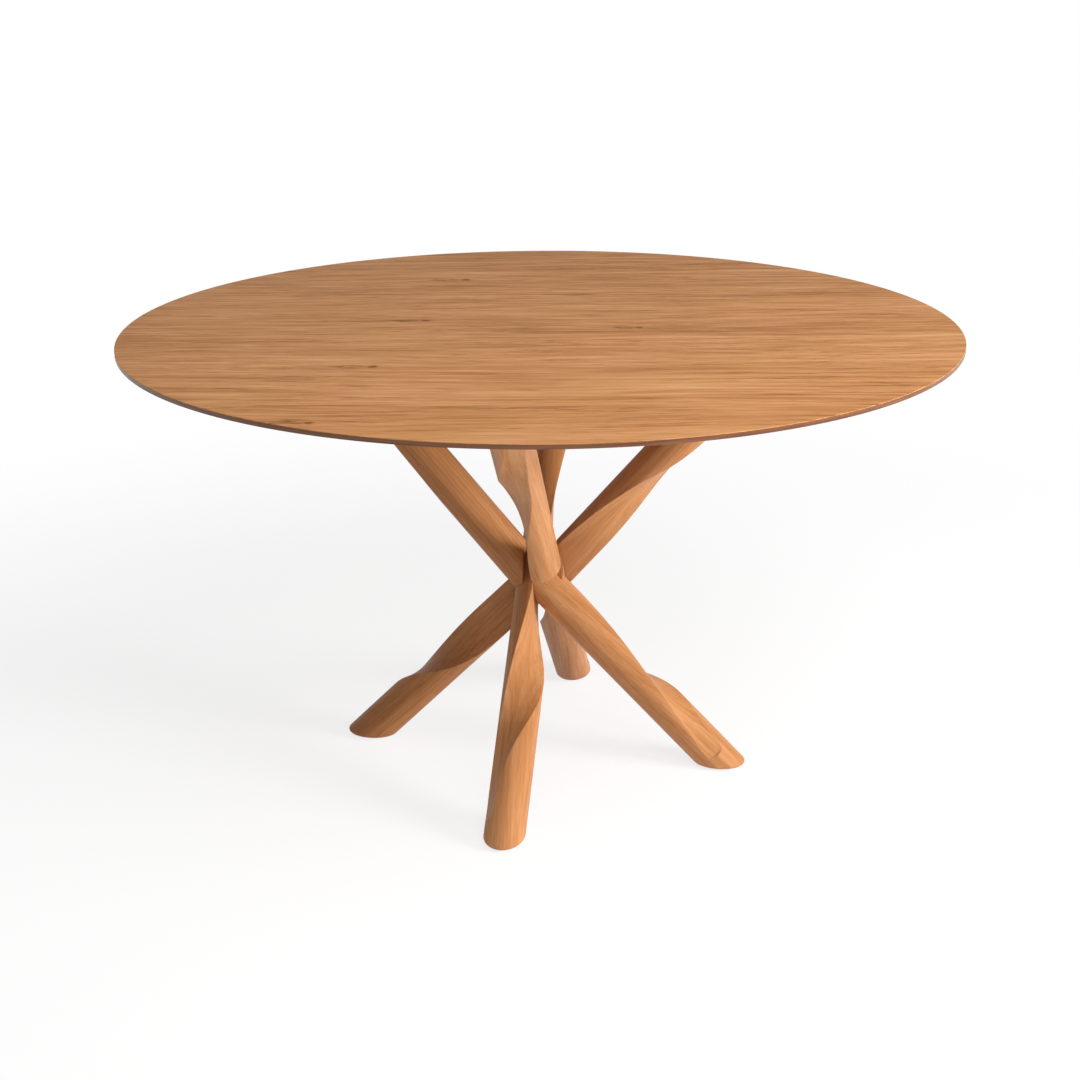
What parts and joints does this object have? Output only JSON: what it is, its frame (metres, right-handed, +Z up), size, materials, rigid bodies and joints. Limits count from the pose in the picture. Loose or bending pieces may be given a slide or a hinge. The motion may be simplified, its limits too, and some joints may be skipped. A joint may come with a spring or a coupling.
{
  "type": "round dining table",
  "caption": "Round dining table: a thin veneered top with a bevelled rim on a sculptural base of crossed round wooden legs and arms with twisting flats.",
  "frame": {"origin": "middle of the table, on the floor", "axes": "+Z up, +X along the grain of the top, -Y towards the side that the picture was taken from"},
  "size_m": [1.3, 1.3, 0.75],
  "materials": {
    "top_veneer": "satin lacquered veneer",
    "edge_wood": "satin lacquered solid wood",
    "leg_wood": "satin lacquered solid wood",
    "arm_wood": "satin lacquered solid wood",
    "core_board": "raw fibreboard",
    "backing": "satin lacquered veneer",
    "dowel_wood": "raw hardwood",
    "plate_steel": "black powder coat",
    "fastener_steel": "zinc plated",
    "insert_brass": "bright",
    "glide_plastic": "dark brown nylon"
  },
  "bodies": {
    "root": {"arm_back": "arm_wood", "arm_front": "arm_wood", "arm_left": "arm_wood", "arm_right": "arm_wood", "backing_veneer": "backing", "board_core": "core_board", "edge_lipping_1": "edge_wood", "edge_lipping_2": "edge_wood", "edge_lipping_3": "edge_wood", "edge_lipping_4": "edge_wood", "edge_lipping_5": "edge_wood", "edge_lipping_6": "edge_wood", "elbow_dowels": "dowel_wood", "glide_back": "glide_plastic", "glide_front": "glide_plastic", "glide_left": "glide_plastic", "glide_right": "glide_plastic", "glide_screws": "fastener_steel", "leg_back": "leg_wood", "leg_front": "leg_wood", "leg_left": "leg_wood", "leg_right": "leg_wood", "plate_arm_screws": "fastener_steel", "plate_back": "plate_steel", "plate_bolts": "fastener_steel", "plate_front": "plate_steel", "plate_left": "plate_steel", "plate_right": "plate_steel", "threaded_inserts": "insert_brass", "veneer_leaf_1": "top_veneer", "veneer_leaf_2": "top_veneer", "veneer_leaf_3": "top_veneer", "veneer_leaf_4": "top_veneer", "veneer_leaf_5": "top_veneer", "veneer_leaf_6": "top_veneer", "veneer_leaf_7": "top_veneer", "waist_dowels": "dowel_wood"}
  },
  "joints": []
}
